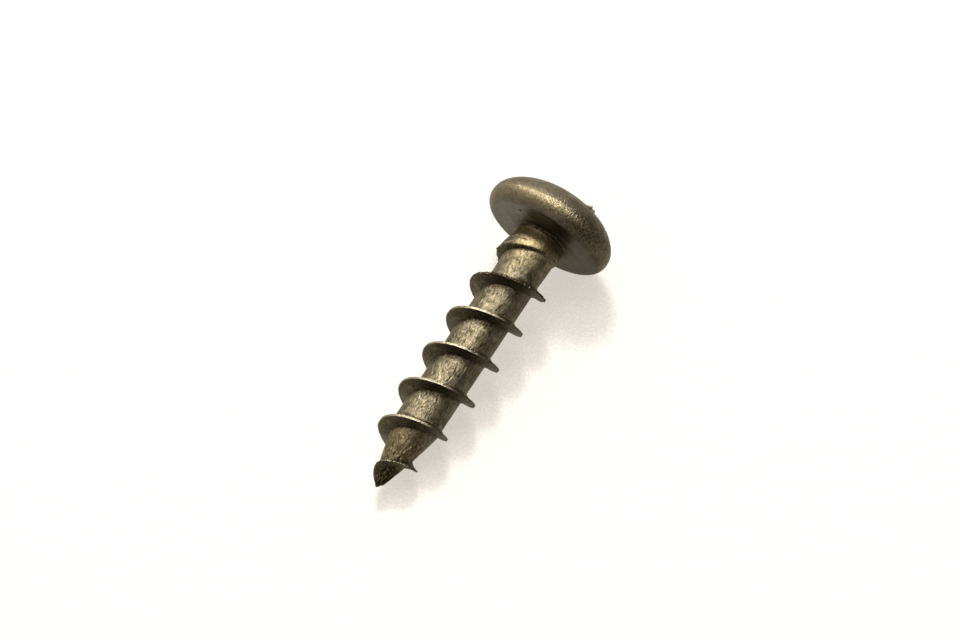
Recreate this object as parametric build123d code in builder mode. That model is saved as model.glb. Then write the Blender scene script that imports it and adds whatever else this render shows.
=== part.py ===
"""Wood screw, 4.2 x 18: rounded pan head with a cross recess, coarse single-start thread, gimlet point.

The screw's axis is Z with the head up. The origin is the centre of the bearing face under the head,
so everything that enters the wood lies below z = 0. Lengths are in millimetres.
"""
import os
from math import cos, pi, radians, sin, sqrt

from build123d import *

# Head
head_diameter = 7.7
head_height = 2.74
bearing_diameter = 6.43  # flat ring that presses on the work
bearing_inner_diameter = 4.4  # clear of the thread, so a washer slides up to the ring
rim_height = 0.76  # height of the widest line of the head above the bearing face

# Cross recess, size 2
recess_span = 4.3  # tip to tip, at the top of the dome
recess_wing_width = 1.05
recess_core_diameter = 2.1
recess_depth = 2.1
recess_floor_scale = 0.36  # size of the recess at its floor, as a share of its size at the top
recess_direction = 8.0  # direction of the first wing, in degrees from X

# Smooth neck between the head and the thread
neck_diameter = 2.94
neck_fillet = 0.15
neck_swell = 0.04  # fall of the shallow cone between the bearing ring and the fillet
collar_diameter = 3.3  # swell where the rolled blank ends
collar_z = -1.02
neck_end_z = -1.45

# Threaded core and point
core_diameter = 2.66
point_start_z = -13.35
point_bulge = 0.08  # how far the ogive stands outside a straight cone, half way along
tip_diameter = 0.3
tip_z = -17.7

# Thread: one start, right-handed
thread_diameter = 4.2
thread_pitch = 2.514
thread_angle_at_bearing = 130.0  # direction of the ridge where its helix crosses z = 0, in degrees
thread_root_width = 0.7
thread_crest_width = 0.12
thread_start_z = -0.95
thread_full_z = -3.8  # run-in ends here and the ridge has its full height
thread_fade_z = -14.4  # the ridge falls away from here to the tip
thread_end_z = -17.6
sections_per_turn = 20
least_ridge_height = 0.03  # where the ridge starts and ends
least_ridge_share = 0.12  # of the full root width, where the ridge starts and ends

head_radius = head_diameter / 2
bearing_radius = bearing_diameter / 2
neck_radius = neck_diameter / 2
collar_radius = collar_diameter / 2
core_radius = core_diameter / 2
tip_radius = tip_diameter / 2
neck_top_z = -(neck_swell + neck_fillet)
thread_radius = thread_diameter / 2
thread_depth = thread_radius - core_radius


def body_radius(z):
    """Radius of the neck, core and point, under the thread, at height z."""
    if z > collar_z:
        share = max(0.0, (neck_top_z - z) / (neck_top_z - collar_z))
        return neck_radius + (collar_radius - neck_radius) * share
    if z > neck_end_z:
        return collar_radius + (core_radius - collar_radius) * (collar_z - z) / (collar_z - neck_end_z)
    if z > point_start_z:
        return core_radius
    along = (point_start_z - z) / (point_start_z - tip_z)
    cone = core_radius + (tip_radius - core_radius) * along
    return cone + 4 * point_bulge * along * (1 - along)


def crest_radius(z):
    """Radius of the thread's crest: it rises out of the collar, runs full, and falls to the tip."""
    if z > thread_full_z:
        run_in = (thread_start_z - z) / (thread_start_z - thread_full_z)
        rise = 1 - (1 - run_in) ** 2
        return neck_radius + (thread_radius - neck_radius) * rise
    height = thread_depth
    if z < thread_fade_z:
        left = (z - thread_end_z) / (thread_fade_z - thread_end_z)
        height = thread_depth * sqrt(max(0.0, left))
    return body_radius(z) + height


def ridge_plane(z):
    """Plane through the axis that cuts the ridge where its helix is at height z: x is radial, y is up."""
    turn = radians(thread_angle_at_bearing) + 2 * pi * z / thread_pitch
    return Plane(origin=(0, 0, z), x_dir=(cos(turn), sin(turn), 0), z_dir=(sin(turn), -cos(turn), 0))


# Head: dome and rim are quarter ellipses, and the under-head fillet belongs to it
with BuildPart() as head:
    with BuildSketch(Plane.XZ):
        with BuildLine():
            Line((0, neck_top_z), (neck_radius, neck_top_z))
            fillet_end = (neck_radius + neck_fillet, -neck_swell)
            RadiusArc((neck_radius, neck_top_z), fillet_end, neck_fillet)
            Line(fillet_end, (bearing_inner_diameter / 2, 0))
            Line((bearing_inner_diameter / 2, 0), (bearing_radius, 0))
            EllipticalCenterArc(
                (bearing_radius, rim_height),
                head_radius - bearing_radius,
                rim_height,
                start_angle=270,
                arc_size=90,
            )
            EllipticalCenterArc(
                (0, rim_height),
                head_radius,
                head_height - rim_height,
                start_angle=0,
                arc_size=90,
            )
            Line((0, head_height), (0, neck_top_z))
        make_face()
    revolve(axis=Axis.Z)
    for wing_direction in (recess_direction, recess_direction + 90):
        with BuildSketch(Plane.XY.offset(head_height)):
            Rectangle(recess_span, recess_wing_width, rotation=wing_direction)
        with BuildSketch(Plane.XY.offset(head_height - recess_depth)):
            Rectangle(
                recess_span * recess_floor_scale,
                recess_wing_width * sqrt(recess_floor_scale),
                rotation=wing_direction,
            )
        loft(mode=Mode.SUBTRACT)
    with BuildSketch(Plane.XY.offset(head_height)):
        Circle(recess_core_diameter / 2)
    with BuildSketch(Plane.XY.offset(head_height - recess_depth)):
        Circle(recess_core_diameter / 2 * recess_floor_scale)
    loft(mode=Mode.SUBTRACT)
head.part.label = "head"

# Neck: smooth shank, waisted under the head and swelling to the collar where the thread starts
with BuildPart() as neck:
    with BuildSketch(Plane.XZ):
        with BuildLine():
            Polyline(
                (0, neck_top_z),
                (neck_radius, neck_top_z),
                (collar_radius, collar_z),
                (core_radius, neck_end_z),
                (0, neck_end_z),
                close=True,
            )
        make_face()
    revolve(axis=Axis.Z)
neck.part.label = "neck"

# Core: the plain cylinder that the thread stands on
with BuildPart() as core:
    with BuildSketch(Plane.XY.offset(point_start_z)):
        Circle(core_radius)
    extrude(amount=neck_end_z - point_start_z)
core.part.label = "core"

# Point: an ogive with a blunt tip
with BuildPart() as point:
    with BuildSketch(Plane.XZ):
        with BuildLine():
            middle_z = (point_start_z + tip_z) / 2
            ThreePointArc(
                (core_radius, point_start_z),
                (body_radius(middle_z), middle_z),
                (tip_radius, tip_z),
            )
            Line((tip_radius, tip_z), (0, tip_z))
            Line((0, tip_z), (0, point_start_z))
            Line((0, point_start_z), (core_radius, point_start_z))
        make_face()
    revolve(axis=Axis.Z)
point.part.label = "point"

# Thread: a ridge lofted along its helix, standing on the neck, core and point
turns = (thread_start_z - thread_end_z) / thread_pitch
section_count = int(turns * sections_per_turn) + 1
with BuildPart() as thread:
    for step in range(section_count):
        z = thread_start_z + (thread_end_z - thread_start_z) * step / (section_count - 1)
        height = max(least_ridge_height, crest_radius(z) - body_radius(z))
        root_half = thread_root_width / 2 * max(least_ridge_share, height / thread_depth)
        crest_half = min(thread_crest_width, root_half) / 2
        crest = body_radius(z) + height
        with BuildSketch(ridge_plane(z)):
            with BuildLine():
                root_below = (body_radius(z - root_half), -root_half)
                root_above = (body_radius(z + root_half), root_half)
                Polyline(root_below, (crest, -crest_half), (crest, crest_half), root_above)
                Spline(root_above, (body_radius(z), 0), root_below)
            make_face()
    loft()
thread.part.label = "thread"

os.makedirs("parts", exist_ok=True)
for piece in (head, neck, core, point, thread):
    export_step(piece.part, f"parts/{piece.part.label}.step")
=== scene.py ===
import math

import bmesh
import bpy
import numpy as np
from mathutils import Matrix, Vector


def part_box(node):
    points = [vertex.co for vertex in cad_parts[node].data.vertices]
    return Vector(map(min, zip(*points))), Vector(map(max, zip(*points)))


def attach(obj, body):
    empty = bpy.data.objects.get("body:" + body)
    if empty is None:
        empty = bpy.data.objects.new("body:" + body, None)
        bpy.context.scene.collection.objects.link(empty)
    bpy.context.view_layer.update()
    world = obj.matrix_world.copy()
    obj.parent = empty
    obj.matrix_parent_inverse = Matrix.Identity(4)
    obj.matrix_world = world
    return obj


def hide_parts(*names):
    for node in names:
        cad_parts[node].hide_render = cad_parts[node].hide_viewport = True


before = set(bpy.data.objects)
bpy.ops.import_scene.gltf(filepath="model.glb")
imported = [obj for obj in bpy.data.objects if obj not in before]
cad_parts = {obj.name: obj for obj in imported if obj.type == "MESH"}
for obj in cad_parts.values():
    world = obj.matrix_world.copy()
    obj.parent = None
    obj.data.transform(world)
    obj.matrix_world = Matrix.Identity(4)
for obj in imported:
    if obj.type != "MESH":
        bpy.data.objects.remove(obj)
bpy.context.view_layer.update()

# The screw's axis is Z with the head up, and z = 0 is the bearing face under the head. Shapes are worked out
# in millimetres and scaled on the way into Blender.
MM = 0.001


# ---------------------------------------------------------------------------------------------- sizes

def node_box(node):
    """Lowest and highest corner of a CAD node, in millimetres."""
    low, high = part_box(node)
    return low / MM, high / MM


HEAD_RADIUS = node_box("head")[1].x
NECK_LOW, NECK_HIGH = node_box("neck")
NECK_TOP = NECK_HIGH.z
NECK_END = NECK_LOW.z
CORE_RADIUS = node_box("core")[1].x
POINT_LOW, POINT_HIGH = node_box("point")
POINT_START = POINT_HIGH.z
TIP = POINT_LOW.z

# Head, as in the CAD
HEAD_HEIGHT = 2.74
RIM_HEIGHT = 0.76  # height of the head's widest line
BEARING_RADIUS = 3.215
BEARING_INNER_RADIUS = 2.2
NECK_FILLET = 0.15
NECK_SWELL = 0.04  # fall of the shallow cone between the bearing ring and the fillet
NECK_RADIUS = 1.47
RECESS_HALF_SPAN = 2.15
RECESS_HALF_WIDTH = 0.525
RECESS_CORE_RADIUS = 1.05
RECESS_DEPTH = 2.1
RECESS_FLOOR_SCALE = 0.36
RECESS_DIRECTION = math.radians(8)
RECESS_EDGE = 0.05  # width over which the recess's edges are rounded

# Neck, and the slanted step where it drops to the rolled surface
STEP_HIGH_SIDE = math.radians(62)  # the neck is shortest on this side
STEP_MIDDLE = -1.39
STEP_SLANT = 0.46
STEP_SKEW = 0.12
STEP_START = 0.03  # above the line
STEP_LENGTH = 0.22
FLARE_START = -0.30
FLARE_END = 0.25  # above the line
BROW_RADIUS = 1.50  # just above the step, on the high side
BROW_SWELL = 0.055

# Core and point
SHOULDER_RADIUS = 1.385  # the core is a little thicker next to the neck
SHOULDER = (-1.4, -3.0)  # heights between which it thins to the core
POINT_BULGE = 0.08
TIP_RADIUS = 0.15
TIP_END = TIP + 0.07
NUB_START = TIP + 0.35  # a worn nub is all that is left of the tip
NUB_LENGTH = 0.30
NUB_RADIUS = 0.21
LEAST_RADIUS = 0.03

# Thread, as in the CAD
PITCH = 2.514
ANGLE_AT_BEARING = math.radians(130)
THREAD_RADIUS = 2.1
THREAD_START, THREAD_FULL, THREAD_FADE, THREAD_END = -0.95, -3.8, -14.4, -17.6
THREAD_DEPTH = THREAD_RADIUS - CORE_RADIUS

# The section of the ridge, and how deep its hidden parts lie
CREST_HALF = 0.062
FOOT_ABOVE = 0.36
FOOT_BELOW = 0.29
FLANK_HOLLOW = 1.8  # 1 is a straight flank
FOOT_DEPTH = 0.008
FOOT_EDGE = 0.05
BACK_DEPTH = 0.25
SEAM_DEPTH = 0.022
FOOT_SHRINK = 0.7  # power of the ridge's height that its foot's width follows
RUN_IN_ABOVE, RUN_IN_BELOW = 0.50, 0.26  # how much wider the foot is on the run-in
RUN_IN_DROP, TORN_DROP = 0.12, 0.07  # how far the crest sits below the helix there and on the torn turn
BRUISES = ((-13.1, 0.24), (-16.85, 0.17))  # height and depth of two dents in the crest
BRUISE_LENGTH = 0.35

# Heights over which a look or a shape sets in: from none at the first to full at the second
RUN_IN = (-3.0, -1.7)
TORN_TURN_STARTS = (-2.5, -2.9)
TORN_TURN_ENDS = (-4.4, -4.15)
FLAKES_START = (-1.3, -1.6)
FLAKES_END = (-2.3, -2.0)
RAGGED_END = (-15.4, -16.0)
POINT_TORN = (-14.0, -15.2)
POINT_DARK = (POINT_START - 0.3, -15.2)
TIP_DARK = (-15.9, -16.5)
THREAD_DARK = (POINT_START - 1.2, TIP + 1.6)
CREST_DARK = (-14.8, -15.4)
THROAT_DARK = (-0.32, -0.18)
# heights over which the painted shade on one side deepens towards the point
SIDE_SHADE_DEEPENS = (-13.5, -14.5)
NECK_BRASS = (-0.10, -0.30)
CORE_BRASS = (-2.9, -2.0)
POINT_BRASS = (POINT_START, -14.6)
CORNERS_START = -1.9  # dirt and painted shade lie beside the ridge from here down

SHADED_SIDE = math.radians(38)  # middle of the side that has painted shade

# Mesh density
NECK_ROWS, CORE_ROWS, POINT_ROWS = 52, 224, 120
SHANK_COLUMNS, POINT_COLUMNS = 440, 360
RIDGE_STATIONS = 2150
FLANK_POINTS = 15
OPENING_RINGS = 13  # from the head's square grid to a circle
OPENING_RADIUS = 3.0
DOME_RINGS, RIM_RINGS, BEARING_RINGS, CONE_RINGS, FILLET_RINGS = 41, 29, 19, 7, 15
GRID_HALF = 2.45
WALLS_START, WALLS_END = 0.28, 0.60  # the recess's walls stand between these distances from its middle lines
MIDDLE_LINES, WALL_LINES, OUTER_LINES = 9, 22, 46
SHARP_ANGLE = math.radians(55)


# ---------------------------------------------------------------------------------------------- noise

def lattice(ix, iy, iz, seed):
    """A repeatable number from 0 to 1 for every whole-numbered lattice point."""
    n = ix * np.uint64(374761393) + iy * np.uint64(668265263) + iz * np.uint64(2246822519)
    n = (n + np.uint64(seed) * np.uint64(3266489917)) & np.uint64(0xFFFFFFFF)
    n = ((n ^ (n >> np.uint64(15))) * np.uint64(2654435761)) & np.uint64(0xFFFFFFFF)
    n = ((n ^ (n >> np.uint64(13))) * np.uint64(1274126177)) & np.uint64(0xFFFFFFFF)
    return ((n ^ (n >> np.uint64(16))) & np.uint64(0xFFFFFF)) / float(0xFFFFFF)


def noise(x, y, z, seed):
    """Smooth value noise from -1 to 1, one lattice cell per unit."""
    x, y, z = np.broadcast_arrays(x, y, z)
    cells, shares = [], []
    for values in (x, y, z):
        whole = np.floor(values)
        part = values - whole
        cells.append((whole.astype(np.int64) + 100000).astype(np.uint64))
        shares.append(part * part * (3 - 2 * part))
    total = np.zeros(x.shape)
    for corner in range(8):
        step = [(corner >> k) & 1 for k in range(3)]
        weight = np.ones(x.shape)
        for k in range(3):
            weight = weight * (shares[k] if step[k] else 1 - shares[k])
        total += weight * lattice(*(cells[k] + np.uint64(step[k]) for k in range(3)), seed)
    return total * 2 - 1


def surface_noise(angle, radius, z, across, along, seed):
    """Noise wrapped round the axis, `across` mm wide round the girth and `along` mm long down Z."""
    return noise(radius * np.cos(angle) / across, radius * np.sin(angle) / across, z / along, seed)


def smooth_step(low, high, value):
    share = np.clip((value - low) / (high - low), 0, 1)
    return share * share * (3 - 2 * share)


def smooth_max(a, b, width):
    """The larger of a and b, rounded where they cross."""
    return np.maximum(a, b) + np.maximum(width - np.abs(a - b), 0) ** 2 / (4 * width)


def smooth_min(a, b, width):
    return -smooth_max(-a, -b, width)


# ---------------------------------------------------------------------------------------- mesh helpers

def grid_faces(rows, columns, wrap):
    """Quads over a grid of vertices numbered row by row; wrap joins the last column to the first."""
    row = np.arange(rows - 1)[:, None] * columns
    column = np.arange(columns if wrap else columns - 1)[None, :]
    after = (column + 1) % columns
    corners = [row + column, row + after, row + after + columns, row + column + columns]
    return np.stack(corners, -1).reshape(-1, 4).tolist()


def ring_faces(inner, outer):
    """Quads between two rings of vertex numbers."""
    return np.stack([np.roll(inner, -1), inner, outer, np.roll(outer, -1)], -1).tolist()


def fan_faces(ring, middle):
    """Triangles from a ring of vertex numbers to the vertex in its middle."""
    return [(int(after), int(this), middle) for this, after in zip(ring, np.roll(ring, -1))]


def make_piece(name, points, faces, attributes):
    """A smooth-shaded closed mesh from points in millimetres, with a number per vertex for each attribute."""
    mesh = bpy.data.meshes.new(name)
    mesh.from_pydata((points * MM).tolist(), [], faces)
    mesh.validate()
    for key, values in attributes.items():
        mesh.attributes.new(key, "FLOAT", "POINT").data.foreach_set("value", values.astype(np.float32))
    work = bmesh.new()
    work.from_mesh(mesh)
    bmesh.ops.recalc_face_normals(work, faces=work.faces)
    work.to_mesh(mesh)
    work.free()
    mesh.polygons.foreach_set("use_smooth", [True] * len(mesh.polygons))
    mesh.set_sharp_from_angle(angle=SHARP_ANGLE)
    piece = bpy.data.objects.new(name, mesh)
    bpy.context.scene.collection.objects.link(piece)
    return piece


# ------------------------------------------------------------------------------- neck, core and point

def step_height(angle):
    """Height of the slanted line where the smooth neck ends and the rolled surface starts."""
    turned = angle - STEP_HIGH_SIDE
    return STEP_MIDDLE + STEP_SLANT * np.cos(turned) - STEP_SKEW * np.sin(turned)


def core_radius(z):
    """Radius of the bare core and point at height z."""
    core = SHOULDER_RADIUS + (CORE_RADIUS - SHOULDER_RADIUS) * smooth_step(*SHOULDER, z)
    along = np.clip((POINT_START - z) / (POINT_START - TIP), 0, 1)
    point = CORE_RADIUS + (TIP_RADIUS - CORE_RADIUS) * along + 4 * POINT_BULGE * along * (1 - along)
    nub = NUB_RADIUS * np.sqrt(np.clip((z - TIP_END) / NUB_LENGTH, 0, 1))
    return np.where(z < POINT_START, np.maximum(point * (z > NUB_START), nub), core)


def bare_radius(angle, z):
    """Radius without marks: the neck flares to the slanted step and drops there to the core."""
    step = step_height(angle)
    brow = BROW_RADIUS + BROW_SWELL * (1 - np.cos(angle - STEP_HIGH_SIDE)) ** 2
    flare = NECK_RADIUS + (brow - NECK_RADIUS) * smooth_step(FLARE_START, step + FLARE_END, z)
    return flare + (core_radius(z) - flare) * smooth_step(step + STEP_START, step - STEP_LENGTH, z)


def rolled(angle, z):
    """How far a spot was worked by the thread rolls, from 0 on the neck to 1 on the core."""
    return smooth_step(0.0, -STEP_LENGTH, z - step_height(angle))


def painted_shade_side(angle):
    """How far the painted shade on one side of the screw reaches, from 0 to 1."""
    return smooth_step(0.25, 0.85, np.cos(angle - SHADED_SIDE))


def drag_marks(angle, z):
    """Height of the short torn marks and pits that the rolls left along the core."""
    drift = angle + 0.10 * z
    strokes = surface_noise(drift, CORE_RADIUS, z, 0.12, 0.26, 12)
    fine = surface_noise(drift, CORE_RADIUS, z, 0.055, 0.17, 13)
    patches = smooth_step(-0.3, 0.5, surface_noise(angle, CORE_RADIUS, z, 0.7, 0.8, 14))
    pits = smooth_step(0.35, 0.75, surface_noise(drift, CORE_RADIUS, z, 0.11, 0.30, 16)) * patches
    return 0.004 * strokes + 0.005 * fine * (0.4 + patches) - 0.020 * pits


def body_surface(angle, z):
    """Radius of the neck, core and point with their surface marks, which shrink with the point."""
    base = bare_radius(angle, z)
    waves = 0.005 * surface_noise(angle, 1.4, z, 0.9, 0.8, 15)
    torn = 0.034 * surface_noise(angle, 1.2, z, 0.11, 0.34, 17) * smooth_step(*POINT_TORN, z)
    marks = (drag_marks(angle, z) + torn) * rolled(angle, z) + waves
    return np.maximum(base + marks * np.clip(base / 0.6, 0.15, 1), LEAST_RADIUS)


def beside_ridge(angle, z):
    """How near a spot is to the corner below the ridge, and to the corner above it, each from 0 to 1."""
    helix = z / PITCH - (angle - ANGLE_AT_BEARING) / (2 * math.pi)
    offset = (helix - np.round(helix)) * PITCH
    below = smooth_step(-0.44, -0.30, offset) * (offset < 0)
    above = smooth_step(0.46, 0.34, offset) * (offset > 0)
    return below, above


def body_grime_and_shade(angle, z, worked):
    """Dirt and painted shade beside the ridge, painted shade under the step, under the head and on one side,
    and dirt with painted shade on the point.
    """
    below, above = beside_ridge(angle, z)
    # dirt and painted shade in the corners beside the ridge, most below it
    corners = (0.75 * below + 0.35 * above) * worked * (z < CORNERS_START)
    step = step_height(angle)
    # painted shade in a thin band under the neck's step
    under_step = 0.95 * smooth_step(step + 0.02, step - 0.05, z) * smooth_step(step - 0.23, step - 0.13, z)
    # the point and its tip darken: partly dirt, partly painted shade
    point = 0.6 * smooth_step(*POINT_DARK, z) + 0.9 * smooth_step(*TIP_DARK, z)
    # painted shade on one side, strongest on the bare neck and deepening towards the point
    side = (0.70 - 0.45 * worked + 0.45 * smooth_step(*SIDE_SHADE_DEEPENS, z)) * painted_shade_side(angle)
    # painted shade at the top of the neck, under the head
    throat = 0.8 * smooth_step(*THROAT_DARK, z)
    return np.maximum.reduce([corners, under_step, point, side, throat])


def body_attributes(angle, z):
    """The grime_and_shade attribute is dark dirt and painted shade, wear is bare bright metal, brass is where
    the brassy plating survived.
    """
    worked = rolled(angle, z)
    brass = smooth_step(*NECK_BRASS, z) * (1 - worked) + 0.5 * smooth_step(*CORE_BRASS, z) * worked
    return {
        "grime_and_shade": body_grime_and_shade(angle, z, worked),
        "wear": np.full(z.shape, 0.5),
        "brass": brass + smooth_step(*POINT_BRASS, z),
        "rolled": worked,
    }


def round_piece(name, low, high, rows, columns):
    """A closed length of the neck, core or point between flat ends."""
    angle, z = np.meshgrid(np.arange(columns) / columns * 2 * math.pi, np.linspace(low, high, rows))
    radius = body_surface(angle, z)
    side = np.stack([radius * np.cos(angle), radius * np.sin(angle), z], -1).reshape(-1, 3)
    points = np.concatenate([side, [[0, 0, low], [0, 0, high]]])
    first = np.arange(columns)
    faces = grid_faces(rows, columns, wrap=True)
    faces += fan_faces(first, len(side))
    faces += fan_faces((len(side) - columns + first)[::-1], len(side) + 1)
    values = body_attributes(angle.ravel(), z.ravel())
    return make_piece(name, points, faces, {key: np.append(v, [0.0, 0.0]) for key, v in values.items()})


def build_neck():
    return round_piece("neck_metal", NECK_END, NECK_TOP, NECK_ROWS, SHANK_COLUMNS)


def build_core():
    return round_piece("core_metal", POINT_START, NECK_END, CORE_ROWS, SHANK_COLUMNS)


def build_point():
    return round_piece("point_metal", TIP_END, POINT_START, POINT_ROWS, POINT_COLUMNS)


# --------------------------------------------------------------------------------------------- thread

def crest_radius(z):
    """Radius of the thread's crest where its helix is at height z."""
    run_in = np.clip((THREAD_START - z) / (THREAD_START - THREAD_FULL), 0, 1)
    rising = NECK_RADIUS + (THREAD_RADIUS - NECK_RADIUS) * (1 - (1 - run_in) ** 2)
    left = np.clip((z - THREAD_END) / (THREAD_FADE - THREAD_END), 0, 1)
    bruise = sum(depth * np.exp(-((z - place) / BRUISE_LENGTH) ** 2) for place, depth in BRUISES)
    running = core_radius(z) + THREAD_DEPTH * np.sqrt(left) - bruise
    return np.where(z > THREAD_FULL, rising, running)


class Ridge:
    """The thread as a grid: a row per station along the helix, a column per point of its section."""

    def __init__(self):
        self.helix_z = np.linspace(THREAD_START - 0.05, THREAD_END, RIDGE_STATIONS)[:, None]
        self.angle = ANGLE_AT_BEARING + 2 * math.pi * self.helix_z / PITCH
        self.run_in = smooth_step(*RUN_IN, self.helix_z)
        self.torn = smooth_step(*TORN_TURN_STARTS, self.helix_z) * smooth_step(*TORN_TURN_ENDS, self.helix_z)
        self.crest = crest_radius(self.helix_z)
        self.share = np.clip((self.crest - core_radius(self.helix_z)) / THREAD_DEPTH, 0.10, 1)
        self.flat = CREST_HALF * np.clip(self.share, 0.4, 1)
        self.centre = -RUN_IN_DROP * self.run_in - TORN_DROP * self.torn
        self.offset, self.drop = self.section()
        self.z = smooth_max(self.helix_z + self.offset, TIP_END + 0.02, 0.3)
        self.turned = np.broadcast_to(self.angle, self.z.shape)

    def section(self):
        """Each point's height above the helix, and how far down its flank it lies, from 0 to 1.

        From the top: a buried point, the upper flank, three points of land, the lower flank, a buried point.
        """
        above = (FOOT_ABOVE + RUN_IN_ABOVE * self.run_in) * self.share ** FOOT_SHRINK
        below = (FOOT_BELOW + RUN_IN_BELOW * self.run_in) * self.share ** FOOT_SHRINK
        fall = np.linspace(1, 0, FLANK_POINTS)[None, :]
        upper = self.flat + (above - self.flat) * fall ** (FLANK_HOLLOW - 0.9 * self.run_in)
        lower = self.flat + (below - self.flat) * fall[:, ::-1] ** (FLANK_HOLLOW - 0.8 * self.run_in)
        land = self.flat * np.array([[0.5, 0.0, -0.5]])
        parts = [above + FOOT_EDGE, upper, land, -lower, -below - FOOT_EDGE]
        drop = np.concatenate([[1.0], fall[0], [0.0, 0.0, 0.0], fall[0, ::-1], [1.0]])[None, :]
        return self.centre + np.concatenate(parts, 1), drop

    def seam(self):
        """Depth of the fine seam that the rolls left along parts of the crest's middle."""
        middle = np.zeros(self.drop.shape)
        middle[0, self.drop.size // 2] = SEAM_DEPTH
        return middle * smooth_step(-0.2, 0.3, surface_noise(self.turned, 2.1, self.helix_z, 1.6, 1.6, 25))

    def worn_radius(self):
        """Radius with a wobbling crest, a torn first turn, flakes on the run-in and rough flanks."""
        up = 1 - self.drop
        wobble = 0.010 * surface_noise(self.turned, 2.1, self.helix_z, 0.35, 1.0, 22)
        teeth = 0.10 * self.torn + 0.05 * smooth_step(*RAGGED_END, self.helix_z) + 0.02
        teeth = teeth * surface_noise(self.turned, 2.1, self.z, 0.09, 0.5, 23)
        radius = self.crest + (wobble + teeth * up - self.seam()) * self.share
        radius = radius - (radius - body_surface(self.turned, self.z)) * self.drop
        flakes = smooth_step(*FLAKES_START, self.helix_z) * smooth_step(*FLAKES_END, self.helix_z)
        flakes = 0.10 * flakes * surface_noise(self.turned, 1.8, self.z, 0.12, 0.16, 24) * (self.offset < 0)
        rough = 0.006 * surface_noise(self.turned, 1.7, self.z, 0.07, 0.07, 26) * self.share
        return radius + flakes * up + rough * np.clip(4 * self.drop * up, 0, 1)

    def points(self):
        """The grid's points: the feet lie just under the body's surface and the back lies inside the core."""
        buried = FOOT_DEPTH * (self.drop > 0.99)
        buried[0, [0, -1]] = FOOT_EDGE
        radius = np.maximum(np.minimum(self.worn_radius(), THREAD_RADIUS) - buried, 0.02)
        back = np.maximum(core_radius(self.helix_z) - BACK_DEPTH, 0.010)
        radius = np.concatenate([radius, back, back], 1)
        angle = np.broadcast_to(self.angle, radius.shape)
        return np.stack([radius * np.cos(angle), radius * np.sin(angle), close_back(self.z)], -1)

    def attributes(self):
        """The crest is worn bright except on the side with painted shade; the lower flank and one side are
        dark with painted shade, and the torn edge and the last turns are dark.
        """
        on_crest = smooth_step(0.10, 0.0, self.drop)
        on_lower = 1.0 * (self.offset < self.centre - self.flat)
        on_upper = 1 - on_lower
        side_shade = painted_shade_side(self.turned)
        hidden = np.clip(self.torn + self.run_in + smooth_step(*CREST_DARK, self.helix_z), 0, 1)
        # painted shade dims the bright worn crest on the shaded side
        worn_out_of_shade = on_crest * (1 - 0.95 * side_shade) * (1 - hidden)
        foot = smooth_step(0.3, 1.0, self.drop)
        # painted shade on the lower flank, darkest at its foot, and a lighter darkening of the upper flank
        grime_and_shade = ((0.70 + 0.2 * foot) * on_lower + 0.30 * on_upper) * (1 - on_crest)
        # painted shade on one side of the thread
        grime_and_shade = np.maximum(grime_and_shade, 0.50 * side_shade)
        # the last turns darken towards the point: partly dirt, partly painted shade
        grime_and_shade = np.maximum(grime_and_shade, 0.8 * smooth_step(*THREAD_DARK, self.z) * (1 - 0.6 * on_crest))
        jag = 0.18 + 0.20 * surface_noise(self.angle, 1.8, self.helix_z, 0.08, 2.0, 41)
        torn_edge = smooth_step(jag + 0.04, jag - 0.02, self.offset - self.centre) * on_upper * self.torn
        grime_and_shade = np.maximum(grime_and_shade * (1 - 0.6 * on_upper * self.torn), 0.95 * torn_edge)
        grime_and_shade = close_back(grime_and_shade).ravel()
        return {
            "grime_and_shade": grime_and_shade,
            "wear": close_back(0.5 + 0.5 * worn_out_of_shade).ravel(),
            "brass": np.zeros(grime_and_shade.size),
            "rolled": np.ones(grime_and_shade.size),
        }


def close_back(values):
    """A ridge grid with two more columns for its back, which repeat its last column and its first."""
    return np.concatenate([values, values[:, -1:], values[:, :1]], 1)


def build_thread():
    """The ridge as one closed hollow-flanked band that follows the helix, with its back inside the core."""
    ridge = Ridge()
    points = ridge.points()
    columns = points.shape[1]
    faces = grid_faces(RIDGE_STATIONS, columns, wrap=True)
    faces.append(tuple(range(columns - 1, -1, -1)))
    faces.append(tuple(range((RIDGE_STATIONS - 1) * columns, RIDGE_STATIONS * columns)))
    return make_piece("thread_metal", points.reshape(-1, 3), faces, ridge.attributes())


# ----------------------------------------------------------------------------------------------- head

def recess_height(x, y):
    """Height of the cross recess's surface above the bearing face, without the dome."""
    floor = HEAD_HEIGHT - RECESS_DEPTH

    def rise(distance, top, bottom):
        return floor + RECESS_DEPTH * np.clip((distance - bottom) / (top - bottom), 0, None)

    def wing(along, across):
        end = rise(np.abs(along), RECESS_HALF_SPAN, RECESS_HALF_SPAN * RECESS_FLOOR_SCALE)
        narrow = RECESS_HALF_WIDTH * math.sqrt(RECESS_FLOOR_SCALE)
        return smooth_max(end, rise(np.abs(across), RECESS_HALF_WIDTH, narrow), RECESS_EDGE)

    core = rise(np.hypot(x, y), RECESS_CORE_RADIUS, RECESS_CORE_RADIUS * RECESS_FLOOR_SCALE)
    return np.minimum(np.minimum(wing(x, y), wing(y, x)), core)


def dome_height(x, y):
    inside = np.clip(1 - (x * x + y * y) / HEAD_RADIUS ** 2, 0, 1)
    return RIM_HEIGHT + (HEAD_HEIGHT - RIM_HEIGHT) * np.sqrt(inside)


def recess_lines():
    """Grid lines across the recess, close together where its walls stand."""
    middle = np.linspace(0, WALLS_START, MIDDLE_LINES)[:-1]
    walls = np.linspace(WALLS_START, WALLS_END, WALL_LINES)
    outer = np.linspace(WALLS_END, GRID_HALF, OUTER_LINES)[1:]
    half = np.concatenate([middle, walls, outer])
    return np.concatenate([-half[:0:-1], half])


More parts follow.
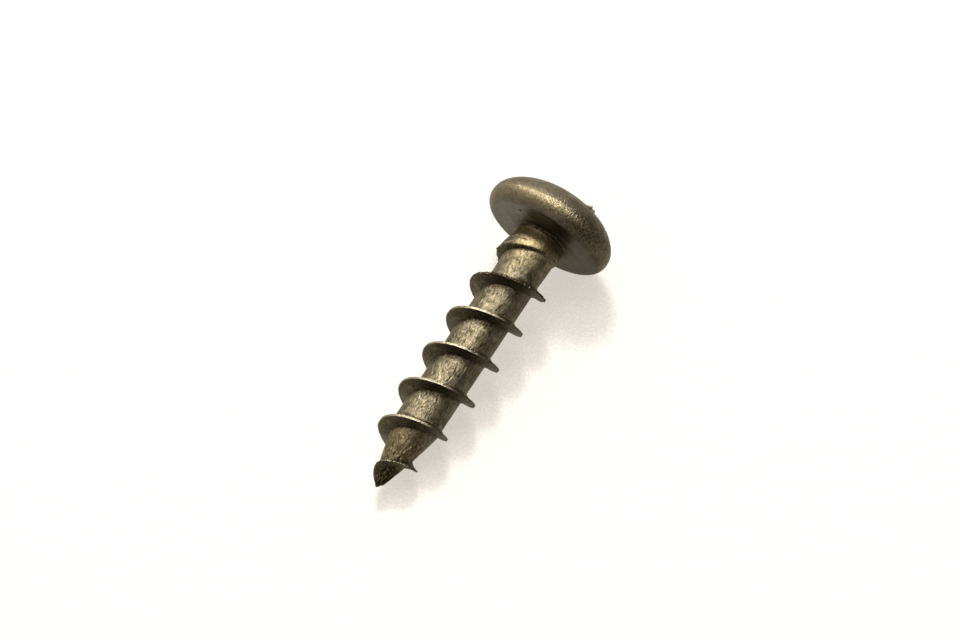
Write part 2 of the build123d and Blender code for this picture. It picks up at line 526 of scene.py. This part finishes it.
def square_edge(count):
    """Numbers of the vertices round the edge of a square grid, in order."""
    last = count - 1
    around = [(0, k) for k in range(last)]
    around += [(k, last) for k in range(last)]
    around += [(last, k) for k in range(last, 0, -1)]
    around += [(k, 0) for k in range(last, 0, -1)]
    return np.array([row * count + column for row, column in around])


def arc(centre, radii, start, end, count):
    """Points along an ellipse from one angle to another, without the first."""
    turns = np.linspace(start, end, count + 1)[1:]
    return [(centre[0] + radii[0] * math.cos(t), centre[1] + radii[1] * math.sin(t)) for t in turns]


def straight(start, end, count):
    """Points along a line, without the first."""
    return [tuple(point) for point in np.linspace(start, end, count + 1)[1:]]


def head_outline():
    """Radius and height down the outside of the dome, round the rim, under the head and into the neck."""
    quarter = math.pi / 2
    dome = (HEAD_RADIUS, HEAD_HEIGHT - RIM_HEIGHT)
    rim = (HEAD_RADIUS - BEARING_RADIUS, RIM_HEIGHT)
    fillet_middle = (NECK_RADIUS + NECK_FILLET, -NECK_SWELL - NECK_FILLET)
    outline = arc((0, RIM_HEIGHT), dome, math.acos(OPENING_RADIUS / HEAD_RADIUS), 0, DOME_RINGS)
    outline += arc((BEARING_RADIUS, RIM_HEIGHT), rim, 0, -quarter, RIM_RINGS)
    outline += straight((BEARING_RADIUS, 0), (BEARING_INNER_RADIUS, 0), BEARING_RINGS)
    outline += straight((BEARING_INNER_RADIUS, 0), (fillet_middle[0], -NECK_SWELL), CONE_RINGS)
    outline += arc(fillet_middle, (NECK_FILLET, NECK_FILLET), quarter, 2 * quarter, FILLET_RINGS)
    return outline


def head_rings(square):
    """Rings that open from the square grid's edge to a circle and then follow the head's outline."""
    direction = np.arctan2(square[:, 1], square[:, 0])
    around = np.stack([np.cos(direction), np.sin(direction)], -1)
    rings = []
    for share in np.linspace(0, 1, OPENING_RINGS + 1)[1:]:
        flat = square * (1 - share) + OPENING_RADIUS * around * share
        rings.append(np.column_stack([flat, np.zeros(len(flat))]))
    for radius, height in head_outline():
        rings.append(np.column_stack([radius * around, np.full(len(around), height)]))
    return rings


def head_shape():
    """Points and faces of the unworn head, and how deep in the recess each point is, from 0 to 1.

    The dome and recess are a square grid that opens into rings, which go on over the rim to the neck.
    """
    lines = recess_lines()
    count = len(lines)
    grid_x, grid_y = np.meshgrid(lines, lines)
    top = np.stack([grid_x, grid_y, np.zeros_like(grid_x)], -1).reshape(-1, 3)
    faces = grid_faces(count, count, wrap=False)
    edge = square_edge(count)
    rings = head_rings(top[edge][:, :2])
    points = np.concatenate([top] + rings + [[[0, 0, NECK_TOP]]])
    previous = edge
    for k in range(len(rings)):
        this = len(top) + k * len(edge) + np.arange(len(edge))
        faces += ring_faces(previous, this)
        previous = this
    faces += fan_faces(previous, len(points) - 1)

    on_dome = np.arange(len(points)) < len(top) + OPENING_RINGS * len(edge)
    dome = dome_height(points[:, 0], points[:, 1])
    recess = recess_height(points[:, 0], points[:, 1])
    points[:, 2] = np.where(on_dome, smooth_min(dome, recess, RECESS_EDGE), points[:, 2])
    in_recess = np.where(on_dome, smooth_step(0.0, 0.25, dome - points[:, 2]), 0)
    cosine, sine = math.cos(RECESS_DIRECTION), math.sin(RECESS_DIRECTION)
    points = points @ np.array([[cosine, sine, 0], [-sine, cosine, 0], [0, 0, 1]])
    return points, faces, in_recess


def head_grime_and_shade(points, in_recess):
    """Painted shade in the recess, beside the neck, under the rim and on one side, and dirt in faint
    blotches.
    """
    x, y, height = points.T
    radius = np.hypot(x, y)
    blotch = 0.2 * smooth_step(0.2, 0.8, noise(x / 0.8, y / 0.8, height / 0.8, 31))
    # painted shade beside the neck under the head, darkest at the fillet
    corner = 0.75 * smooth_step(2.4, 1.85, radius) + 0.5 * smooth_step(1.75, 1.6, radius)
    corner = corner * smooth_step(0.05, 0.0, height)
    turned = np.arctan2(y, x)
    # painted shade on one side of the head
    side_shade = 0.35 * painted_shade_side(turned) + 0.45 * smooth_step(0.36, 0.62, np.cos(turned - SHADED_SIDE))
    side = side_shade * smooth_step(2.4, 3.4, radius)
    # painted shade under the rim
    under_rim = 0.10 * smooth_step(0.55, 0.2, height) * smooth_step(3.1, 3.3, radius)
    # painted shade in the recess
    return np.maximum.reduce([0.8 * in_recess, corner, under_rim, blotch, side])


def waves(points):
    """How far the outside of the cold-headed head waves and streaks, as a push for each point."""
    x, y, z = points.T
    outward = points - np.stack([x * 0.5, y * 0.5, np.full(len(points), RIM_HEIGHT)], -1)
    outward /= np.maximum(np.linalg.norm(outward, axis=1)[:, None], 1e-6)
    on_outside = smooth_step(2.3, 2.8, np.hypot(x, y)) * smooth_step(-0.02, 0.25, z)
    wave = 0.014 * noise(x / 1.3, y / 1.3, z / 0.9, 32)
    streak = 0.0045 * surface_noise(np.arctan2(y, x), 3.8, z, 0.12, 0.50, 33)
    return outward * ((wave + streak) * on_outside)[:, None]


def knock(points, *, radius, turned, height, tilt, across, along, slant, depth):
    """A push by depth, outwards and up by tilt, round a spot at turned degrees; a dent is negative."""
    turn = math.radians(turned)
    spot = np.array([radius * math.cos(turn), radius * math.sin(turn), height])
    sideways = np.array([-math.sin(turn), math.cos(turn), 0])
    outward = np.array([math.cos(turn), math.sin(turn), tilt])
    outward /= np.linalg.norm(outward)
    upward = np.cross(outward, sideways)
    first = sideways * math.cos(slant) + upward * math.sin(slant)
    second = upward * math.cos(slant) - sideways * math.sin(slant)
    gap = points - spot
    near = np.exp(-(gap @ first / across) ** 2 - (gap @ second / along) ** 2 - (gap @ outward / 0.6) ** 2)
    return outward * (near * depth)[:, None]


def burr_push(points):
    """A burr of metal that stands over the dome's edge beside the recess."""
    ridge = knock(
        points, radius=2.40, turned=3, height=2.32, tilt=0.55,
        across=0.20, along=0.11, slant=0.4, depth=0.24,
    )
    spike = knock(
        points, radius=2.50, turned=9, height=2.26, tilt=0.55,
        across=0.08, along=0.08, slant=0.0, depth=0.16,
    )
    return ridge + spike


def dent_push(points):
    """A nick in the bearing ring and a scratch on the rim."""
    nick = knock(
        points, radius=2.61, turned=286, height=0.00, tilt=-6.0,
        across=0.09, along=0.07, slant=0.0, depth=-0.06,
    )
    scratch = knock(
        points, radius=3.68, turned=324, height=0.36, tilt=-0.3,
        across=0.045, along=0.17, slant=0.7, depth=-0.045,
    )
    return nick + scratch


def build_head():
    """The head with its waves, streaks, burr, nick and scratch, and the dirt and painted shade that lie on
    it.
    """
    points, faces, in_recess = head_shape()
    height = points[:, 2]
    burr, dents = burr_push(points), dent_push(points)
    burr_size, dent_size = np.linalg.norm(burr, axis=1), np.linalg.norm(dents, axis=1)
    grime_and_shade = head_grime_and_shade(points, in_recess) * smooth_step(0.08, 0.02, burr_size)
    values = {
        "grime_and_shade": np.maximum(grime_and_shade, smooth_step(0.01, 0.04, dent_size)),
        "wear": 0.5 + 0.5 * smooth_step(0.02, 0.08, burr_size),
        "brass": 0.35 * smooth_step(1.2, 0.7, height) * smooth_step(0.05, 0.4, height),
        "rolled": np.zeros(len(points)),
        "bearing": smooth_step(0.06, 0.01, height) * smooth_step(1.95, 2.25, np.hypot(*points[:, :2].T)),
    }
    return make_piece("head_metal", points + waves(points) + burr + dents, faces, values)


# ------------------------------------------------------------------------------------------ materials

PLATING_DULL = (0.100, 0.085, 0.056)
PLATING_BRIGHT = (0.162, 0.138, 0.093)
ROLLED_DULL = (0.072, 0.062, 0.041)
ROLLED_BRIGHT = (0.142, 0.123, 0.084)
PLATING_BRASS = (0.262, 0.205, 0.104)
PLATING_WORN = (0.280, 0.245, 0.176)
STAIN_YELLOW = (0.190, 0.155, 0.074)
# dark colour of dirt, also used for painted shade
RESIDUE_AND_SHADE = (0.016, 0.012, 0.006)
BEARING_GREY = (0.070, 0.067, 0.057)
EDGE_TINT = (0.72, 0.70, 0.66, 1)
BOARD_DARK = (0.19, 0.19, 0.19)
BOARD_LIGHT = (0.34, 0.34, 0.34)
BOARD_GLOW = (1.0, 0.94, 0.845, 1)
BOARD_GLOW_STRENGTH = 0.60  # the board is shown a little brighter than it is, as in an over-exposed picture


class Shader:
    """A node tree with short ways to add textures, attributes and sums."""

    def __init__(self, owner):
        owner.use_nodes = True
        self.tree = owner.node_tree
        self.link = self.tree.links.new
        self.coordinates = self.node("ShaderNodeTexCoord")

    def node(self, kind, **settings):
        made = self.tree.nodes.new(kind)
        for key, value in settings.items():
            setattr(made, key, value)
        return made

    def fill(self, socket, value):
        if isinstance(value, tuple):
            socket.default_value = (*value, 1)
        elif isinstance(value, (int, float)):
            socket.default_value = value
        else:
            self.link(value, socket)

    def noise(self, across, along, detail=3.0, rough=0.6):
        """Noise whose features are `across` mm wide and `along` mm long down the screw's axis."""
        mapping = self.node("ShaderNodeMapping")
        mapping.inputs["Scale"].default_value = (1 / (across * MM), 1 / (across * MM), 1 / (along * MM))
        self.link(self.coordinates.outputs["Object"], mapping.inputs["Vector"])
        made = self.node("ShaderNodeTexNoise")
        made.inputs["Scale"].default_value = 1.0
        made.inputs["Detail"].default_value = detail
        made.inputs["Roughness"].default_value = rough
        self.link(mapping.outputs["Vector"], made.inputs["Vector"])
        return made.outputs["Fac"]

    def attribute(self, key):
        return self.node("ShaderNodeAttribute", attribute_name=key).outputs["Fac"]

    def spread(self, value, low, high, out_low=0.0, out_high=1.0, shape="LINEAR"):
        """The value, stretched from the range low to high to the range out_low to out_high and held there."""
        made = self.node("ShaderNodeMapRange", interpolation_type=shape)
        for key, number in (("From Min", low), ("From Max", high), ("To Min", out_low), ("To Max", out_high)):
            made.inputs[key].default_value = number
        self.link(value, made.inputs["Value"])
        return made.outputs["Result"]

    def sum(self, a, b, operation="ADD"):
        made = self.node("ShaderNodeMath", operation=operation)
        self.fill(made.inputs[0], a)
        self.fill(made.inputs[1], b)
        return made.outputs[0]

    def times(self, a, b):
        return self.sum(a, b, "MULTIPLY")

    def one_minus(self, a):
        return self.sum(1.0, a, "SUBTRACT")

    def mix(self, share, a, b):
        made = self.node("ShaderNodeMix", data_type="RGBA")
        self.fill(made.inputs[0], share)
        self.fill(made.inputs[6], a)
        self.fill(made.inputs[7], b)
        return made.outputs[2]

    def bump(self, height, distance, strength=1.0):
        """A bent surface normal from a height that is `distance` mm high where it is 1."""
        made = self.node("ShaderNodeBump")
        made.inputs["Distance"].default_value = distance * MM
        self.fill(made.inputs["Strength"], strength)
        self.link(height, made.inputs["Height"])
        return made.outputs["Normal"]


class Metal(Shader):
    """Dull brassy plating: mottled, streaked along the axis, dark in the corners with dirt and painted shade,
    bright where worn.

    The slot names the material. Blender may add a number to it in the material's own name.
    """

    def __init__(self, slot, roughness, relief, dull, bright):
        self.slot = slot
        self.material = bpy.data.materials.new(slot)
        super().__init__(self.material)
        self.streaks = self.noise(0.055, 0.26, 3.0, 0.65)
        self.hairs = self.noise(0.024, 0.17, 2.0)
        self.mottle = self.noise(0.55, 0.65, 4.0)
        self.stains = self.noise(0.20, 0.32, 4.0, 0.7)
        self.specks = self.noise(0.07, 0.11)
        self.flecks = self.noise(0.13, 0.36, 2.0)
        self.worked = self.attribute("rolled")
        self.smooth = self.attribute("bearing")
        self.residue_and_shade = self.residue_and_shade_share()
        shader = self.tree.nodes["Principled BSDF"]
        self.link(self.colour(dull, bright), shader.inputs["Base Color"])
        shader.inputs["Metallic"].default_value = 1.0
        shader.inputs["Specular Tint"].default_value = EDGE_TINT
        rough = self.spread(self.mottle, 0.3, 0.7, roughness + 0.05, roughness - 0.05)
        self.link(self.sum(rough, self.times(self.residue_and_shade, 0.06)), shader.inputs["Roughness"])
        strength = self.one_minus(self.times(self.smooth, 0.85))
        self.link(self.bump(self.height(), relief, strength), shader.inputs["Normal"])

    def residue_and_shade_share(self):
        """How much dirt and painted shade cover a spot: the grime_and_shade attribute, broken up by specks
        and streaks.
        """
        gaps = self.sum(self.times(self.specks, 0.4), self.times(self.streaks, 0.6))
        return self.times(self.attribute("grime_and_shade"), self.spread(gaps, 0.60, 0.43, 0.30, 1.0))

    def colour(self, dull, bright):
        colour = self.mix(self.spread(self.mottle, 0.36, 0.64), dull, bright)
        colour = self.mix(self.times(self.attribute("brass"), 0.8), colour, PLATING_BRASS)
        yellow = self.times(self.spread(self.stains, 0.47, 0.63), self.worked)
        colour = self.mix(self.times(yellow, 0.6), colour, STAIN_YELLOW)
        scraped = self.spread(self.streaks, 0.54, 0.66)
        scraped = self.times(scraped, self.sum(0.40, self.times(self.worked, 0.25)))
        colour = self.mix(scraped, colour, PLATING_WORN)
        scored = self.spread(self.streaks, 0.50, 0.39)
        scored = self.times(scored, self.sum(0.25, self.times(self.worked, 0.60)))
        scored = self.times(scored, self.spread(self.mottle, 0.58, 0.42, 0.35, 1.0))
        colour = self.mix(self.times(scored, self.one_minus(self.smooth)), colour, RESIDUE_AND_SHADE)
        pits = self.times(self.spread(self.stains, 0.40, 0.30), self.times(self.worked, 0.6))
        colour = self.mix(pits, colour, RESIDUE_AND_SHADE)
        # dirt and painted shade from the grime_and_shade attribute
        colour = self.mix(self.residue_and_shade, colour, RESIDUE_AND_SHADE)
        colour = self.mix(self.spread(self.attribute("wear"), 0.55, 1.0, 0.0, 0.8), colour, PLATING_WORN)
        return self.mix(self.times(self.smooth, 0.8), colour, BEARING_GREY)

    def height(self):
        """Fine streaks everywhere, stained relief where the rolls worked, and flecks where they didn't."""
        height = self.sum(self.streaks, self.times(self.hairs, 0.5))
        height = self.sum(height, self.times(self.times(self.stains, self.worked), 1.6))
        return self.sum(height, self.times(self.times(self.flecks, self.one_minus(self.worked)), 0.9))


def board_material():
    """Pale grainy board, seen only from its front, so that the screw can be looked at from behind too."""
    material = bpy.data.materials.new("pale_board")
    board = Shader(material)
    board.tree.nodes.remove(board.tree.nodes["Principled BSDF"])
    grain = board.noise(0.16, 0.16, 4.0, 0.8)
    paper = board.node("ShaderNodeBsdfDiffuse")
    board.link(board.mix(board.spread(grain, 0.35, 0.65), BOARD_DARK, BOARD_LIGHT), paper.inputs["Color"])
    board.link(board.bump(grain, 0.03), paper.inputs["Normal"])
    glow = board.node("ShaderNodeEmission")
    glow.inputs["Color"].default_value = BOARD_GLOW
    glow.inputs["Strength"].default_value = BOARD_GLOW_STRENGTH
    front = board.node("ShaderNodeAddShader")
    board.link(paper.outputs[0], front.inputs[0])
    board.link(glow.outputs[0], front.inputs[1])
    sides = board.node("ShaderNodeMixShader")
    board.link(board.node("ShaderNodeNewGeometry").outputs["Backfacing"], sides.inputs[0])
    board.link(front.outputs[0], sides.inputs[1])
    board.link(board.node("ShaderNodeBsdfTransparent").outputs[0], sides.inputs[2])
    board.link(sides.outputs[0], board.tree.nodes["Material Output"].inputs["Surface"])
    return material


# ---------------------------------------------------------------------------------------------- stage

VIEW_AZIMUTH = 62.0
VIEW_ELEVATION = -18.55
VIEW_ROLL = 33.82
VIEW_DISTANCE = 598.6
VIEW_LENS = 400.0
VIEW_CLIP = (0.01, 5)  # in metres
FRAME_RIGHT = -3.52  # the middle of the frame, from the origin, along the camera's right and up
FRAME_UP = -4.61

BOARD_AZIMUTH = 45.3
BOARD_HALF = 36.0
MOST_LEAN = 15.0
BOARD_GAP = 0.01

# Directions of the lights, along the camera's right, up and back. A spread is the cosines of the angles from
# such a direction at which a light sets in and is full.
WINDOW = (-0.03, 0.86, 0.51)
WINDOW_AIM = -8  # the height on the screw's axis that it shines at
WINDOW_DISTANCE = 300
WINDOW_SIZE = 58
WINDOW_POWER = 1.02
WINDOW_COLOUR = (1.0, 0.98, 0.955)
OVERHEAD = (-0.52, 0.40, 0.755)
OVERHEAD_SPREAD = (0.25, 1.0)
OVERHEAD_LIGHT = 1.25
GLOW = (0.0, 0.90, -0.43)
GLOW_SPREAD = (0.35, 0.85)
GLOW_LIGHT = 1.2
LAMP = (0.03, 0.67, 0.74)
LAMP_SPREAD = (0.93, 0.99)
LAMP_LIGHT = 6.0
ROOM_DARK = 0.03
ROOM_COLOUR = (1.0, 0.955, 0.88, 1)
PHOTOGRAPHER = (0, 0, 1)
PHOTOGRAPHER_SPREAD = (0.85, 0.97)
PHOTOGRAPHER_SHADE = 0.2
BACKDROP_COLOUR = (0.97, 0.97, 0.96, 1)


def direction(azimuth, elevation):
    a, e = math.radians(azimuth), math.radians(elevation)
    return Vector((math.sin(a) * math.cos(e), -math.cos(a) * math.cos(e), math.sin(e)))


def view_axes():
    """The camera's right, up and back directions."""
    back = direction(VIEW_AZIMUTH, VIEW_ELEVATION)
    level_right = direction(VIEW_AZIMUTH + 90, 0)
    level_up = back.cross(level_right)
    roll = math.radians(VIEW_ROLL)
    right = level_right * math.cos(roll) + level_up * math.sin(roll)
    up = level_up * math.cos(roll) - level_right * math.sin(roll)
    return right, up, back


def from_view(along):
    """A direction or place in the screw's axes from one given along the camera's right, up and back."""
    right, up, back = view_axes()
    return right * along[0] + up * along[1] + back * along[2]


def add_to_scene(thing):
    bpy.context.scene.collection.objects.link(thing)
    return thing


def build_camera():
    data = bpy.data.cameras.new("camera")
    data.lens = VIEW_LENS
    data.clip_start, data.clip_end = VIEW_CLIP
    camera = add_to_scene(bpy.data.objects.new("camera", data))
    place = from_view((FRAME_RIGHT, FRAME_UP, VIEW_DISTANCE)) * MM
    camera.matrix_world = Matrix.Translation(place) @ Matrix(view_axes()).transposed().to_4x4()
    bpy.context.scene.camera = camera


def resting_plane(head, thread):
    """Normal and depth of the leaning plane that touches both the head's rim and the thread."""
    head_points, thread_points = (np.array([v.co for v in piece.data.vertices]) for piece in (head, thread))
    low, high = 0.0, MOST_LEAN
    for _ in range(30):
        lean = (low + high) / 2
        normal = np.array(direction(BOARD_AZIMUTH, lean))
        if (head_points @ normal).min() < (thread_points @ normal).min():
            low = lean
        else:
            high = lean
    normal = direction(BOARD_AZIMUTH, lean)
    return normal, (head_points @ np.array(normal)).min()


def build_board(head, thread):
    """A board that the head's rim and the thread both rest against, centred in the view."""
    normal, depth = resting_plane(head, thread)
    half = BOARD_HALF * MM
    mesh = bpy.data.meshes.new("floor")
    corners = [(-half, -half, 0), (half, -half, 0), (half, half, 0), (-half, half, 0)]
    mesh.from_pydata(corners, [], [(0, 1, 2, 3)])
    mesh.materials.append(board_material())
    board = add_to_scene(bpy.data.objects.new("floor", mesh))
    board.rotation_mode = "QUATERNION"
    board.rotation_quaternion = normal.to_track_quat("Z", "Y")
    middle = from_view((FRAME_RIGHT, FRAME_UP, 0)) * MM
    back = direction(VIEW_AZIMUTH, VIEW_ELEVATION)
    board.location = middle + back * ((depth - BOARD_GAP * MM - normal.dot(middle)) / normal.dot(back))


def build_window():
    """A soft square of light that shines at the middle of the screw."""
    data = bpy.data.lights.new("window", "AREA")
    data.shape = "RECTANGLE"
    data.size = WINDOW_SIZE * MM
    data.size_y = WINDOW_SIZE * MM
    data.energy = WINDOW_POWER
    data.color = WINDOW_COLOUR
    way = from_view(WINDOW).normalized()
    light = add_to_scene(bpy.data.objects.new("window", data))
    light.rotation_mode = "QUATERNION"
    light.location = Vector((0, 0, WINDOW_AIM * MM)) + way * WINDOW_DISTANCE * MM
    light.rotation_quaternion = way.to_track_quat("Z", "Y")


def lobe(room, toward, spread, away_level, full_level):
    """A level that changes smoothly as the direction looked in nears one given in the camera's axes."""
    facing = room.node("ShaderNodeVectorMath", operation="DOT_PRODUCT")
    facing.inputs[1].default_value = from_view(toward).normalized()
    room.link(room.coordinates.outputs["Generated"], facing.inputs[0])
    return room.spread(facing.outputs["Value"], *spread, away_level, full_level, "SMOOTHSTEP")


def build_world():
    """A room that is light overhead and dark low down and round the camera; seen directly, it is pale."""
    world = bpy.data.worlds.new("room")
    bpy.context.scene.world = world
    room = Shader(world)
    light = room.sum(
        lobe(room, OVERHEAD, OVERHEAD_SPREAD, ROOM_DARK, OVERHEAD_LIGHT),
        lobe(room, GLOW, GLOW_SPREAD, 0.0, GLOW_LIGHT),
    )
    light = room.sum(light, lobe(room, LAMP, LAMP_SPREAD, 0.0, LAMP_LIGHT))
    light = room.times(light, lobe(room, PHOTOGRAPHER, PHOTOGRAPHER_SPREAD, 1.0, PHOTOGRAPHER_SHADE))
    lit = room.tree.nodes["Background"]
    lit.inputs["Color"].default_value = ROOM_COLOUR
    room.link(light, lit.inputs["Strength"])
    pale = room.node("ShaderNodeBackground")
    pale.inputs["Color"].default_value = BACKDROP_COLOUR
    seen = room.node("ShaderNodeMixShader")
    room.link(room.node("ShaderNodeLightPath").outputs["Is Camera Ray"], seen.inputs[0])
    room.link(lit.outputs[0], seen.inputs[1])
    room.link(pale.outputs[0], seen.inputs[2])
    room.link(seen.outputs[0], room.tree.nodes["World Output"].inputs["Surface"])


# --------------------------------------------------------------------------------------------- pieces

def build_pieces():
    plated = Metal("plated_head", roughness=0.34, relief=0.032, dull=PLATING_DULL, bright=PLATING_BRIGHT)
    shank = Metal("rolled_shank", roughness=0.38, relief=0.025, dull=ROLLED_DULL, bright=ROLLED_BRIGHT)
    made = {}
    for build, cad_node, metal in (
        (build_head, "head", plated),
        (build_neck, "neck", plated),
        (build_core, "core", shank),
        (build_thread, "thread", shank),
        (build_point, "point", shank),
    ):
        piece = build()
        piece.data.materials.append(metal.material)
        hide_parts(cad_node)
        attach(piece, "root")
        made[cad_node] = piece
    return made


pieces = build_pieces()
build_board(pieces["head"], pieces["thread"])
build_camera()
build_window()
build_world()
bpy.context.scene.view_settings.view_transform = "Standard"
